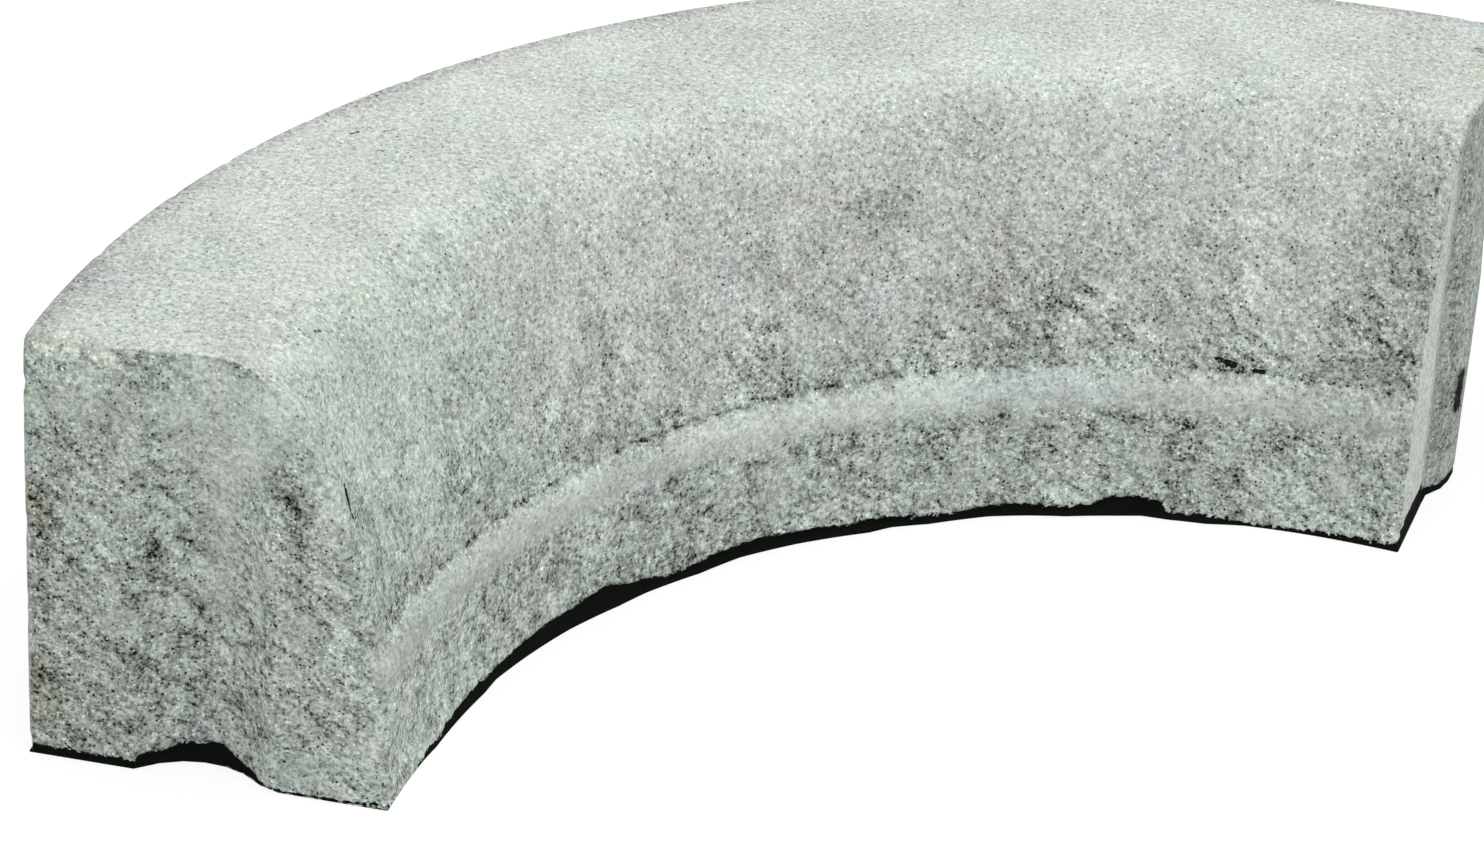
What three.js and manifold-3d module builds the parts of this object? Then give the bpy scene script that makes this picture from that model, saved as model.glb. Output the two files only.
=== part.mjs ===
// Curved precast concrete kerb stone, one solid casting.
//
// The stone is a length of one cross-section swept round a vertical axis. Its
// shaped face is on the inside of the bend: a plain foot that rounds back into
// a shoulder, a crease, a gently convex leaning face and a bullnosed top edge.
// One end has a shallow rounded groove over the full height and the other has
// the tongue that goes into it, so that neighbouring stones lock together. Both
// are at their deepest in the lower half and run out towards the top, where the
// joint shows.
//
// Millimetres, +Z up. The bed is on z = 0. The grooved end lies in a plane of
// constant Y and faces -Y, so the stone sets off along +Y and bends to +X.
// The origin is the middle of the bounding box, at the bed.

import * as THREE from 'three';
import { mergeVertices } from 'three/addons/utils/BufferGeometryUtils.js';
import Module from 'manifold-3d';

// ---- driving dimensions (mm, degrees) --------------------------------------

const HEIGHT = 200;              // bed to top
const BACK_RADIUS = 495;         // outside of the bend, the plain back
const BASE_WIDTH = 155;          // foot to back, at the bed
const SPAN_DEG = 97.5;           // end plane to end plane, tongue left out

const FOOT_HEIGHT = 60;          // plain upright face, up to where the shoulder starts
const SHOULDER_RUN = 5;          // how far the shoulder rounds back, foot face to crease
const SHOULDER_RISE = 17;        // how far it climbs on the way
const NOSE_RADIUS = 40;          // bullnose
const NOSE_TOP_SETBACK = 72;     // foot face to where the flat top starts
const NOSE_LEAN_DEG = 24;        // lean of the face where it meets the nose
const BACK_ARRIS_RADIUS = 5;     // top into the back
const BED_ARRIS_RADIUS = 4;      // lower edges, front and back
const END_ARRIS_RADIUS = 3;      // edges round both end faces, the smallest of the arrises

const GROOVE_WIDTH = 56;         // across the mouth, on the end plane
const GROOVE_DEPTH = 13;         // at its middle, in the lower part
const GROOVE_TOP_DEPTH = 5;      // at its middle, where it leaves through the top
const RUN_OUT_HEIGHT = 90;       // bed to where the depth starts to lessen
const GROOVE_SETBACK = 80;       // foot face to the middle of the groove
const GROOVE_ARRIS_RADIUS = 3;   // edges of its mouth
const TONGUE_CLEARANCE = 1.5;    // tongue smaller than the groove, all round

// ---- how finely round stretches are cut ------------------------------------

const SWEEP_STEPS = 52;          // between the end arrises
const TONGUE_SWEEP_STEPS = 4;
const END_ARRIS_STEPS = 4;
const SMALL_ARC_STEPS = 4;
const SHOULDER_STEPS = 6;
const NOSE_STEPS = 10;
const FACE_STEPS = 8;
const GROOVE_STEPS = 26;         // across the groove, and across the tongue
const RUN_OUT_STEPS = 8;

// ---- values that follow ----------------------------------------------------

const FOOT_RADIUS = BACK_RADIUS - BASE_WIDTH;
const SPAN = THREE.MathUtils.degToRad(SPAN_DEG);
const GROOVED_END = Math.PI;
const TONGUED_END = GROOVED_END - SPAN;

const wasm = await Module();
wasm.setup();

// ---- cross-section ---------------------------------------------------------
// u runs in from the foot face towards the back, z runs up. Counter-clockwise.

function arc(centreU, centreZ, radius, fromDeg, toDeg, steps) {
  const points = [];
  for (let i = 0; i <= steps; i += 1) {
    const a = THREE.MathUtils.degToRad(fromDeg + (toDeg - fromDeg) * i / steps);
    points.push(new THREE.Vector2(centreU + radius * Math.cos(a), centreZ + radius * Math.sin(a)));
  }
  return points;
}

// Rounds the corner at `corner` between the straight stretches to `before` and
// `after`, as points from the first stretch to the second.
function roundCorner(before, corner, after, radius, steps) {
  const toBefore = before.clone().sub(corner).normalize();
  const toAfter = after.clone().sub(corner).normalize();
  const half = Math.acos(THREE.MathUtils.clamp(toBefore.dot(toAfter), -1, 1)) / 2;
  const bisector = toBefore.clone().add(toAfter).normalize();
  const centre = corner.clone().addScaledVector(bisector, radius / Math.sin(half));
  const start = corner.clone().addScaledVector(toBefore, radius / Math.tan(half)).sub(centre);
  const end = corner.clone().addScaledVector(toAfter, radius / Math.tan(half)).sub(centre);
  const startAngle = start.angle();
  let turn = end.angle() - startAngle;
  if (turn > Math.PI) turn -= 2 * Math.PI;
  if (turn < -Math.PI) turn += 2 * Math.PI;
  const points = [];
  for (let i = 0; i <= steps; i += 1) {
    const a = startAngle + turn * i / steps;
    points.push(new THREE.Vector2(centre.x + radius * Math.cos(a), centre.y + radius * Math.sin(a)));
  }
  return points;
}

// The shoulder: one arc that leaves the upright foot face without a kink and
// ends at the crease, as points from the crease down.
function shoulder(footTop, crease, steps) {
  const run = crease.x - footTop.x;
  const rise = crease.y - footTop.y;
  const radius = (run * run + rise * rise) / (2 * run);
  const turn = THREE.MathUtils.radToDeg(Math.asin(rise / radius));
  return arc(footTop.x + radius, footTop.y, radius, 180 - turn, 180, steps);
}

// The leaning face: one arc from the crease that meets the nose without a kink.
function leaningFace(crease, noseStart, noseLean, steps) {
  const chord = noseStart.clone().sub(crease);
  const chordLean = Math.atan2(chord.x, chord.y);
  const halfTurn = noseLean - chordLean;
  const radius = chord.length() / (2 * Math.sin(halfTurn));
  const centre = new THREE.Vector2(
    noseStart.x + radius * Math.cos(noseLean),
    noseStart.y - radius * Math.sin(noseLean),
  );
  const points = [];
  for (let i = 0; i <= steps; i += 1) {
    const lean = noseLean - 2 * halfTurn * (1 - i / steps);
    points.push(new THREE.Vector2(centre.x - radius * Math.cos(lean), centre.y + radius * Math.sin(lean)));
  }
  return points;
}

function crossSection() {
  const footBottom = new THREE.Vector2(0, 0);
  const backBottom = new THREE.Vector2(BASE_WIDTH, 0);
  const backTop = new THREE.Vector2(BASE_WIDTH, HEIGHT);
  const footTop = new THREE.Vector2(0, FOOT_HEIGHT);
  const crease = new THREE.Vector2(SHOULDER_RUN, FOOT_HEIGHT + SHOULDER_RISE);
  const noseTop = new THREE.Vector2(NOSE_TOP_SETBACK, HEIGHT);
  const nose = arc(
    NOSE_TOP_SETBACK,
    HEIGHT - NOSE_RADIUS,
    NOSE_RADIUS,
    90,
    180 - NOSE_LEAN_DEG,
    NOSE_STEPS,
  );
  const noseStart = nose[nose.length - 1];
  const face = leaningFace(crease, noseStart, THREE.MathUtils.degToRad(NOSE_LEAN_DEG), FACE_STEPS);
  return [
    ...roundCorner(footTop, footBottom, backBottom, BED_ARRIS_RADIUS, SMALL_ARC_STEPS),
    ...roundCorner(footBottom, backBottom, backTop, BED_ARRIS_RADIUS, SMALL_ARC_STEPS),
    ...roundCorner(backBottom, backTop, noseTop, BACK_ARRIS_RADIUS, SMALL_ARC_STEPS),
    ...nose,
    ...face.slice(1, -1).reverse(),
    ...shoulder(footTop, crease, SHOULDER_STEPS),
  ];
}

// The section drawn in by `inset`, square to its own outline.
function insetSection(section, inset) {
  const n = section.length;
  return section.map((point, i) => {
    const before = section[(i + n - 1) % n];
    const after = section[(i + 1) % n];
    const a = point.clone().sub(before).normalize();
    const b = after.clone().sub(point).normalize();
    const inward = new THREE.Vector2(-a.y - b.y, a.x + b.x).normalize();
    const reach = inset / Math.max(0.5, inward.dot(new THREE.Vector2(-a.y, a.x)));
    return point.clone().addScaledVector(inward, reach);
  });
}

// ---- sweep round the bend --------------------------------------------------

// Stations are {angle, inset}. They run from the larger angle to the smaller.
function sweep(section, stations) {
  const n = section.length;
  const positions = [];
  const index = [];
  stations.forEach(({ angle, inset }) => {
    insetSection(section, inset).forEach((point) => {
      const r = FOOT_RADIUS + point.x;
      positions.push(r * Math.cos(angle), r * Math.sin(angle), point.y);
    });
  });
  for (let s = 0; s + 1 < stations.length; s += 1) {
    for (let i = 0; i < n; i += 1) {
      const j = (i + 1) % n;
      const a = s * n + i;
      const b = s * n + j;
      const c = (s + 1) * n + j;
      const d = (s + 1) * n + i;
      index.push(a, b, c, a, c, d);
    }
  }
  const last = (stations.length - 1) * n;
  const firstCap = THREE.ShapeUtils.triangulateShape(insetSection(section, stations[0].inset), []);
  firstCap.forEach(([a, b, c]) => index.push(a, c, b));
  const lastCap = THREE.ShapeUtils.triangulateShape(
    insetSection(section, stations[stations.length - 1].inset),
    [],
  );
  lastCap.forEach(([a, b, c]) => index.push(last + a, last + b, last + c));
  const geometry = new THREE.BufferGeometry();
  geometry.setAttribute('position', new THREE.Float32BufferAttribute(positions, 3));
  geometry.setIndex(index);
  return geometry;
}

function bodyStations() {
  const middleRadius = FOOT_RADIUS + BASE_WIDTH / 2;
  const stations = [];
  for (let k = 0; k < END_ARRIS_STEPS; k += 1) {
    const a = (k / END_ARRIS_STEPS) * Math.PI / 2;
    stations.push({
      angle: GROOVED_END - END_ARRIS_RADIUS * (1 - Math.cos(a)) / middleRadius,
      inset: END_ARRIS_RADIUS * (1 - Math.sin(a)),
    });
  }
  const arrisAngle = END_ARRIS_RADIUS / middleRadius;
  for (let i = 0; i <= SWEEP_STEPS; i += 1) {
    stations.push({
      angle: GROOVED_END - arrisAngle - (SPAN - 2 * arrisAngle) * i / SWEEP_STEPS,
      inset: 0,
    });
  }
  for (let k = END_ARRIS_STEPS - 1; k >= 0; k -= 1) {
    const a = (k / END_ARRIS_STEPS) * Math.PI / 2;
    stations.push({
      angle: TONGUED_END + END_ARRIS_RADIUS * (1 - Math.cos(a)) / middleRadius,
      inset: END_ARRIS_RADIUS * (1 - Math.sin(a)),
    });
  }
  return stations;
}

// A short length of the full section that runs out past the tongued end plane.
function tongueStations() {
  const reach = 2 * GROOVE_DEPTH / FOOT_RADIUS;
  const stations = [];
  for (let i = 0; i <= TONGUE_SWEEP_STEPS; i += 1) {
    stations.push({
      angle: TONGUED_END + reach * (0.5 - 1.5 * i / TONGUE_SWEEP_STEPS),
      inset: 0,
    });
  }
  return stations;
}

// ---- groove and tongue -----------------------------------------------------

// The groove in plan at one level, where its middle is `depth` deep, drawn in
// by `clearance` all round: a shallow arc whose mouth is rounded into the end
// plane, as far as the clearance leaves any rounding. x runs across the groove.
// y goes from the end plane, at 0, to the bottom of the groove.
function grooveOutline(depth, clearance) {
  const fullRadius = (GROOVE_WIDTH * GROOVE_WIDTH / 4 + depth * depth) / (2 * depth);
  const centreY = depth - fullRadius;
  const radius = fullRadius - clearance;
  const arrisRadius = GROOVE_ARRIS_RADIUS + clearance;
  const arrisX = Math.sqrt((fullRadius + GROOVE_ARRIS_RADIUS) ** 2 - (GROOVE_ARRIS_RADIUS - centreY) ** 2);
  const lean = Math.atan2(arrisX, GROOVE_ARRIS_RADIUS - centreY);
  const mouth = Math.acos(GROOVE_ARRIS_RADIUS / arrisRadius);
  const hasArris = mouth < lean;
  const arcEnd = hasArris ? arrisX - arrisRadius * Math.sin(lean) : Infinity;
  const edge = hasArris ? arrisX - arrisRadius * Math.sin(mouth) : Math.sqrt(radius ** 2 - centreY ** 2);
  const points = [];
  for (let i = 0; i <= GROOVE_STEPS; i += 1) {
    const x = -edge * Math.cos(Math.PI * i / GROOVE_STEPS);
    const across = Math.min(Math.abs(x), edge);
    const y = across < arcEnd
      ? centreY + Math.sqrt(radius ** 2 - across ** 2)
      : GROOVE_ARRIS_RADIUS - Math.sqrt(arrisRadius ** 2 - (arrisX - across) ** 2);
    points.push(new THREE.Vector2(x, y));
  }
  return points;
}

// The groove's depth at its middle: constant up to the run-out, then easing
// down to the depth at the top.
function depthAt(z) {
  const t = THREE.MathUtils.clamp((z - RUN_OUT_HEIGHT) / (HEIGHT - RUN_OUT_HEIGHT), 0, 1);
  return GROOVE_DEPTH + (GROOVE_TOP_DEPTH - GROOVE_DEPTH) * (1 - Math.cos(Math.PI * t)) / 2;
}

// A solid of the groove's space, drawn in by `clearance`, that starts below the
// bed and ends above the top. It stands at the end plane at `angle`, and its
// back is carried out past that plane. Its depth goes towards smaller angles,
// which is into the stone at the grooved end and out of it at the tongued end.
function uprightKey(angle, clearance) {
  const levels = [-HEIGHT];
  for (let k = 0; k <= RUN_OUT_STEPS; k += 1) {
    levels.push(RUN_OUT_HEIGHT + (HEIGHT - RUN_OUT_HEIGHT) * k / RUN_OUT_STEPS);
  }
  levels.push(2 * HEIGHT);
  const positions = [];
  let n = 0;
  levels.forEach((z) => {
    const front = grooveOutline(depthAt(z), clearance).reverse();
    const edge = front[0].x;
    const ring = [
      new THREE.Vector2(edge, -GROOVE_DEPTH),
      ...front,
      new THREE.Vector2(-edge, -GROOVE_DEPTH),
    ];
    n = ring.length;
    ring.forEach((point) => positions.push(point.x, point.y, z));
  });
  const index = [];
  for (let s = 0; s + 1 < levels.length; s += 1) {
    for (let i = 0; i < n; i += 1) {
      const j = (i + 1) % n;
      index.push(s * n + i, s * n + j, (s + 1) * n + j);
      index.push(s * n + i, (s + 1) * n + j, (s + 1) * n + i);
    }
  }
  const last = (levels.length - 1) * n;
  const ringAt = (s) => Array.from(
    { length: n },
    (_, i) => new THREE.Vector2(positions[3 * (s * n + i)], positions[3 * (s * n + i) + 1]),
  );
  THREE.ShapeUtils.triangulateShape(ringAt(0), []).forEach(([a, b, c]) => index.push(a, c, b));
  THREE.ShapeUtils.triangulateShape(ringAt(levels.length - 1), []).forEach(([a, b, c]) => {
    index.push(last + a, last + b, last + c);
  });
  const geometry = new THREE.BufferGeometry();
  geometry.setAttribute('position', new THREE.Float32BufferAttribute(positions, 3));
  geometry.setIndex(index);
  geometry.rotateZ(angle - Math.PI);
  const r = FOOT_RADIUS + GROOVE_SETBACK;
  geometry.translate(r * Math.cos(angle), r * Math.sin(angle), 0);
  return geometry;
}

// ---- solids ----------------------------------------------------------------

function toSolid(geometry) {
  const bare = geometry.clone();
  bare.deleteAttribute('normal');
  bare.deleteAttribute('uv');
  const merged = mergeVertices(bare, 1e-4);
  return new wasm.Manifold(new wasm.Mesh({
    numProp: 3,
    vertProperties: new Float32Array(merged.attributes.position.array),
    triVerts: new Uint32Array(merged.index.array),
  }));
}

function toGeometry(solid) {
  const mesh = solid.getMesh();
  const geometry = new THREE.BufferGeometry();
  geometry.setAttribute('position', new THREE.BufferAttribute(new Float32Array(mesh.vertProperties), 3));
  geometry.setIndex(new THREE.BufferAttribute(new Uint32Array(mesh.triVerts), 1));
  return geometry;
}

const section = crossSection();
const body = toSolid(sweep(section, bodyStations()));
const groove = toSolid(uprightKey(GROOVED_END, 0));
const tongue = toSolid(sweep(section, tongueStations()))
  .intersect(toSolid(uprightKey(TONGUED_END, TONGUE_CLEARANCE)));
const stone = toGeometry(body.subtract(groove).add(tongue));

stone.computeBoundingBox();
const middle = stone.boundingBox.getCenter(new THREE.Vector3());
stone.translate(-middle.x, -middle.y, 0);
stone.computeVertexNormals();

const concrete = new THREE.MeshStandardMaterial({ color: 0xb4bbb3, roughness: 0.9, metalness: 0 });
const kerb = new THREE.Mesh(stone, concrete);
kerb.name = 'kerb_stone';

const group = new THREE.Group();
group.name = 'curved_kerb_stone';
group.add(kerb);

export default group;
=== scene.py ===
"""The looks of the curved concrete kerb stone.

One closed mesh stands for the CAD node. It is the stone's own section swept
round the bend, with a grooved and a tongued end. Its surface is then worn, pitted
and chipped inwards, and two of its edges wander a little off their lines. Each
vertex carries attributes, such as how rough it is, or how far below the edge of
the painted contact shadow along the ground, and the material reads them. The
shape is made in millimetres, in the CAD frame, and becomes metres when the mesh
is made.
"""

import math

import bpy
import numpy as np
from mathutils import Matrix, Vector, geometry, noise


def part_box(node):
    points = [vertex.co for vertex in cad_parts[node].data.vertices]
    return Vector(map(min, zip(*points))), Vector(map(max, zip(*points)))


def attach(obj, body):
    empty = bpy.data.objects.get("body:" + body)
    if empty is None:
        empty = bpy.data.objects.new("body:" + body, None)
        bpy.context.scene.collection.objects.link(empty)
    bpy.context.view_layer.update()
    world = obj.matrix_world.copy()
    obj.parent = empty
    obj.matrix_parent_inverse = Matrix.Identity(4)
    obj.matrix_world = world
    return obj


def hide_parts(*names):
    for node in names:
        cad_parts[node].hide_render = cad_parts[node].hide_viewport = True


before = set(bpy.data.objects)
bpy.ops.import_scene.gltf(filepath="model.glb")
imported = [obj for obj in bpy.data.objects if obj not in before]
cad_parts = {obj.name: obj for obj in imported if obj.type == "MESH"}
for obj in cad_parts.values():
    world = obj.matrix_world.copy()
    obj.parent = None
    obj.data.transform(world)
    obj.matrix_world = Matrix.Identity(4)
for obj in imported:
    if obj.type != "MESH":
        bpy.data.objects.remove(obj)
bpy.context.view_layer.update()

MM = 0.001

# ---- the stone (mm, degrees) -------------------------------------------------

HEIGHT = 200.0
BACK_RADIUS = 495.0
BASE_WIDTH = 155.0
SPAN_DEG = 97.5
FOOT_HEIGHT = 60.0
SHOULDER_RUN = 5.0
SHOULDER_RISE = 17.0
NOSE_RADIUS = 40.0
NOSE_SETBACK = 72.0
NOSE_LEAN = math.radians(24)
BACK_ARRIS = 5.0
BED_ARRIS = 1.2          # the real lower edges are sharper than the CAD's
END_ARRIS = 3.0
GROOVE_WIDTH = 56.0
GROOVE_DEPTH = 13.0
GROOVE_TOP_DEPTH = 5.0
RUN_OUT_HEIGHT = 90.0
GROOVE_SETBACK = 80.0
GROOVE_ARRIS = 3.0
TONGUE_CLEARANCE = 1.5

FOOT_RADIUS = BACK_RADIUS - BASE_WIDTH
CREASE_HEIGHT = FOOT_HEIGHT + SHOULDER_RISE
SPAN = math.radians(SPAN_DEG)

# The middle of the bend, from the box: the stone starts at its lowest y, and
# the arris of that end keeps the back a hair inside its own radius.
END_ARRIS_TURN = END_ARRIS / (FOOT_RADIUS + BASE_WIDTH / 2)
low_corner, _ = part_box("kerb_stone")
CENTRE = (low_corner.x / MM + BACK_RADIUS * math.cos(END_ARRIS_TURN), low_corner.y / MM)

# ---- how finely it is cut (mm) -----------------------------------------------

STATIONS = 372           # steps round the bend
END_STEPS = 4            # steps round the arris of each end
ARRIS_STEPS = 4          # steps round the arrises of the section
CAP_SPACING = 2.7        # over the end faces
CAP_MARGIN = 0.55 * CAP_SPACING      # from their edge to the nearest point inside it
CAP_JITTER = 0.2         # by which those points are shifted at random
CAP_FIRST_ROW = 0.7      # rows above the bed
NOSE_SPACING = 2.2
FACE_SPACING = 2.3
SHOULDER_SPACING = 2.2
FOOT_SPACING = 2.1
LIP_SPACING = 1.3        # low on the foot, where the lip is
LIP_ZONE = 15.0
TOP_SPACING = 2.6
BACK_SPACING = 4.6
BED_SPACING = 9.0
SAME_POINT = 0.2         # points of the outline that are nearer than this are one
MOST_STRETCH = 2.0       # by which a sharp corner lengthens an inset

CAP_SEED = 7
WEAR_SEED = 11
FAR_FROM_CREASE = 9.0    # what the ends have for their distance from the crease

SIDE, GROOVED, TONGUED = 0, 1, 2     # which surface a vertex is on


# ---- section -----------------------------------------------------------------
# (u, z): u runs in from the foot face towards the back, z runs up.

def line(a, b, spacing):
    """Points from a to b."""
    steps = max(1, round(math.dist(a, b) / spacing))
    t = np.linspace(0, 1, steps + 1)[:, None]
    return np.array(a) + (np.array(b) - np.array(a)) * t


def arc(centre, radius, from_deg, to_deg, spacing):
    """Points on an arc, with its angles counted from +u towards +z."""
    steps = max(2, round(abs(math.radians(to_deg - from_deg)) * radius / spacing))
    a = np.radians(np.linspace(from_deg, to_deg, steps + 1))
    return np.c_[centre[0] + radius * np.cos(a), centre[1] + radius * np.sin(a)]


def rounded(before, at, after, radius, steps):
    """The arc that rounds the corner `at`, on the way from `before` to `after`."""
    at = np.array(at, float)
    b = np.array(before) - at
    a = np.array(after) - at
    b, a = b / np.linalg.norm(b), a / np.linalg.norm(a)
    half = math.acos(np.clip(b @ a, -1, 1)) / 2
    centre = at + (a + b) / np.linalg.norm(a + b) * radius / math.sin(half)
    start = at + b * radius / math.tan(half) - centre
    end = at + a * radius / math.tan(half) - centre
    from_a, to_a = math.atan2(start[1], start[0]), math.atan2(end[1], end[0])
    turn = (to_a - from_a + math.pi) % (2 * math.pi) - math.pi
    t = from_a + turn * np.linspace(0, 1, steps + 1)
    return np.c_[centre[0] + radius * np.cos(t), centre[1] + radius * np.sin(t)]


def leaning_face(crease, start):
    """One arc from the start of the nose down to the crease, with no kink at the nose."""
    chord = start - crease
    half_turn = NOSE_LEAN - math.atan2(chord[0], chord[1])
    length = np.linalg.norm(chord)
    radius = length / (2 * math.sin(half_turn))
    centre = start + radius * np.array([math.cos(NOSE_LEAN), -math.sin(NOSE_LEAN)])
    lean = NOSE_LEAN - 2 * half_turn * np.linspace(0, 1, round(length / FACE_SPACING) + 1)
    return np.c_[centre[0] - radius * np.cos(lean), centre[1] + radius * np.sin(lean)]


def shoulder():
    """One arc from the crease down to the upright foot face, with no kink at the foot."""
    radius = (SHOULDER_RUN**2 + SHOULDER_RISE**2) / (2 * SHOULDER_RUN)
    turn = math.degrees(math.asin(SHOULDER_RISE / radius))
    return arc((radius, FOOT_HEIGHT), radius, 180 - turn, 180, SHOULDER_SPACING)


def section():
    """The closed outline, counter-clockwise from the lower edge of the foot."""
    front, back = (0, 0), (BASE_WIDTH, 0)
    back_top, foot_top = (BASE_WIDTH, HEIGHT), (0, FOOT_HEIGHT)
    crease = np.array([SHOULDER_RUN, CREASE_HEIGHT])
    nose_centre = (NOSE_SETBACK, HEIGHT - NOSE_RADIUS)
    nose = arc(nose_centre, NOSE_RADIUS, 90, 180 - math.degrees(NOSE_LEAN), NOSE_SPACING)
    parts = [
        rounded(foot_top, front, back, BED_ARRIS, ARRIS_STEPS),
        line((BED_ARRIS, 0), (BASE_WIDTH - BED_ARRIS, 0), BED_SPACING),
        rounded(front, back, back_top, BED_ARRIS, ARRIS_STEPS),
        line((BASE_WIDTH, BED_ARRIS), (BASE_WIDTH, HEIGHT - BACK_ARRIS), BACK_SPACING),
        rounded(back, back_top, (0, HEIGHT), BACK_ARRIS, ARRIS_STEPS),
        line((BASE_WIDTH - BACK_ARRIS, HEIGHT), (NOSE_SETBACK, HEIGHT), TOP_SPACING),
        nose,
        leaning_face(crease, nose[-1]),
        shoulder(),
        line(foot_top, (0, LIP_ZONE), FOOT_SPACING),
        line((0, LIP_ZONE), (0, BED_ARRIS), LIP_SPACING),
    ]
    points = [parts[0][0]]
    for part in parts:
        for p in part:
            if math.dist(p, points[-1]) > SAME_POINT:
                points.append(p)
    if math.dist(points[-1], points[0]) < SAME_POINT:
        points.pop()
    return np.array(points)


def outline_normals(outline):
    """Unit normals that point into the stone, and what an inset is divided by at a corner."""
    before = outline - np.roll(outline, 1, 0)
    after = np.roll(outline, -1, 0) - outline
    before /= np.linalg.norm(before, axis=1)[:, None]
    after /= np.linalg.norm(after, axis=1)[:, None]
    along = before + after
    normal = np.c_[-along[:, 1], along[:, 0]]
    normal /= np.linalg.norm(normal, axis=1)[:, None]
    reach = (normal * np.c_[-before[:, 1], before[:, 0]]).sum(1)
    return normal, np.clip(reach, 1 / MOST_STRETCH, None)


# ---- ends --------------------------------------------------------------------

def key_depth(u, z, clearance):
    """How far the end surface lies past the end plane.

    With no clearance it is the groove's depth, and with the tongue's clearance
    it is how far the tongue stands out.
    """
    t = np.clip((z - RUN_OUT_HEIGHT) / (HEIGHT - RUN_OUT_HEIGHT), 0, 1)
    depth = GROOVE_DEPTH + (GROOVE_TOP_DEPTH - GROOVE_DEPTH) * (1 - np.cos(np.pi * t)) / 2
    full_radius = (GROOVE_WIDTH**2 / 4 + depth**2) / (2 * depth)
    centre = depth - full_radius
    radius = full_radius - clearance
    arris = GROOVE_ARRIS + clearance
    arris_x = np.sqrt((full_radius + GROOVE_ARRIS) ** 2 - (GROOVE_ARRIS - centre) ** 2)
    lean = np.arctan2(arris_x, GROOVE_ARRIS - centre)
    mouth = math.acos(GROOVE_ARRIS / arris)
    x = np.abs(u - GROOVE_SETBACK)
    bowl = centre + np.sqrt(np.clip(radius**2 - x**2, 0, None))
    bend = GROOVE_ARRIS - np.sqrt(np.clip(arris**2 - (arris_x - x) ** 2, 0, None))
    edge = arris_x - arris * math.sin(mouth)
    with_arris = np.where(x <= arris_x - arris * np.sin(lean), bowl, np.where(x < edge, bend, 0))
    return np.clip(np.where(mouth < lean, with_arris, bowl), 0, None)


def past_end(u, z, past, end):
    """Points (x, y, z) at a distance past an end plane.

    That is into the stone at the grooved end, and out of it at the tongued end.
    """
    r = FOOT_RADIUS + u
    plane = math.pi if end == GROOVED else math.pi - SPAN
    angle = plane - np.arcsin(past / r)
    return np.c_[CENTRE[0] + r * np.cos(angle), CENTRE[1] + r * np.sin(angle), z]


def on_bend(deg, u, z):
    """The point (x, y, z) at an angle from the grooved end."""
    r = FOOT_RADIUS + u
    a = math.pi - math.radians(deg)
    return np.array([CENTRE[0] + r * math.cos(a), CENTRE[1] + r * math.sin(a), z])


def end_arrises(outline):
    """Radius of the arris round each end, for every point of the outline.

    Both are sharp at the bed. The grooved end is worn rounder down its shaped
    face and at the back of its top edge, and is sharp along the rest of it.
    """
    u, z = outline.T
    far = END_ARRIS * np.interp(z, [0, 8], [0.35, 1])
    front = np.interp(u, [60, 75], [1, 0]) * np.interp(z, [4, 20, 175, 198], [0, 1, 1, 0])
    back = np.interp(u, [104, 112], [0, 1]) * np.interp(z, [175, 195], [0, 1])
    top = np.interp(u, [34, 46, 112, 122], [0, 1, 1, 0]) * np.interp(z, [176, 190], [0, 1])
    near = far * (1 + 1.3 * front + 0.5 * back - 0.55 * top)
    return near, far


def cross(a, b, c):
    """Twice the signed area of the triangle a, b, c."""
    return (b[0] - a[0]) * (c[1] - a[1]) - (c[0] - a[0]) * (b[1] - a[1])


def inside(p, polygon):
    """Which of the points lie in the polygon."""
    x, y = p[:, 0], p[:, 1]
    hit = np.zeros(len(p), bool)
    for (x0, y0), (x1, y1) in zip(polygon, np.roll(polygon, -1, 0)):
        if y0 != y1:
            hit ^= ((y0 > y) != (y1 > y)) & (x < (x1 - x0) * (y - y0) / (y1 - y0) + x0)
    return hit


def distance_to(p, polygon):
    """Distance of each point from the polygon's outline."""
    best = np.full(len(p), np.inf)
    for a, b in zip(polygon, np.roll(polygon, -1, 0)):
        ab = b - a
        t = np.clip(((p - a) @ ab) / (ab @ ab), 0, 1)
        best = np.minimum(best, np.linalg.norm(p - a - t[:, None] * ab, axis=1))
    return best


def cap(edge):
    """Points inside an end face, and triangles over it.

    The triangles count the points of the edge first.
    """
    rng = np.random.default_rng(CAP_SEED)
    row_height = CAP_SPACING * math.sqrt(3) / 2
    rows = np.arange(edge[:, 1].min() + row_height * CAP_FIRST_ROW, edge[:, 1].max(), row_height)
    columns = np.arange(0, BASE_WIDTH, CAP_SPACING)
    grid = np.array([(u + CAP_SPACING / 2 * (k % 2), z) for k, z in enumerate(rows) for u in columns])
    grid += rng.uniform(-CAP_JITTER, CAP_JITTER, grid.shape)
    grid = grid[inside(grid, edge)]
    grid = grid[distance_to(grid, edge) > CAP_MARGIN]
    points = [Vector(p) for p in np.concatenate([edge, grid])]
    loop = [(a, (a + 1) % len(edge)) for a in range(len(edge))]
    _, _, faces, origin, _, _ = geometry.delaunay_2d_cdt(points, loop, [], 1, 1e-6)
    if len(origin) != len(points):
        raise RuntimeError("points of an end face were merged")
    faces = np.array([[origin[a][0] for a in f] for f in faces])
    if cross(*(points[k] for k in faces[0])) < 0:
        faces = faces[:, ::-1]
    return grid, faces


# ---- the plain stone ---------------------------------------------------------

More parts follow.
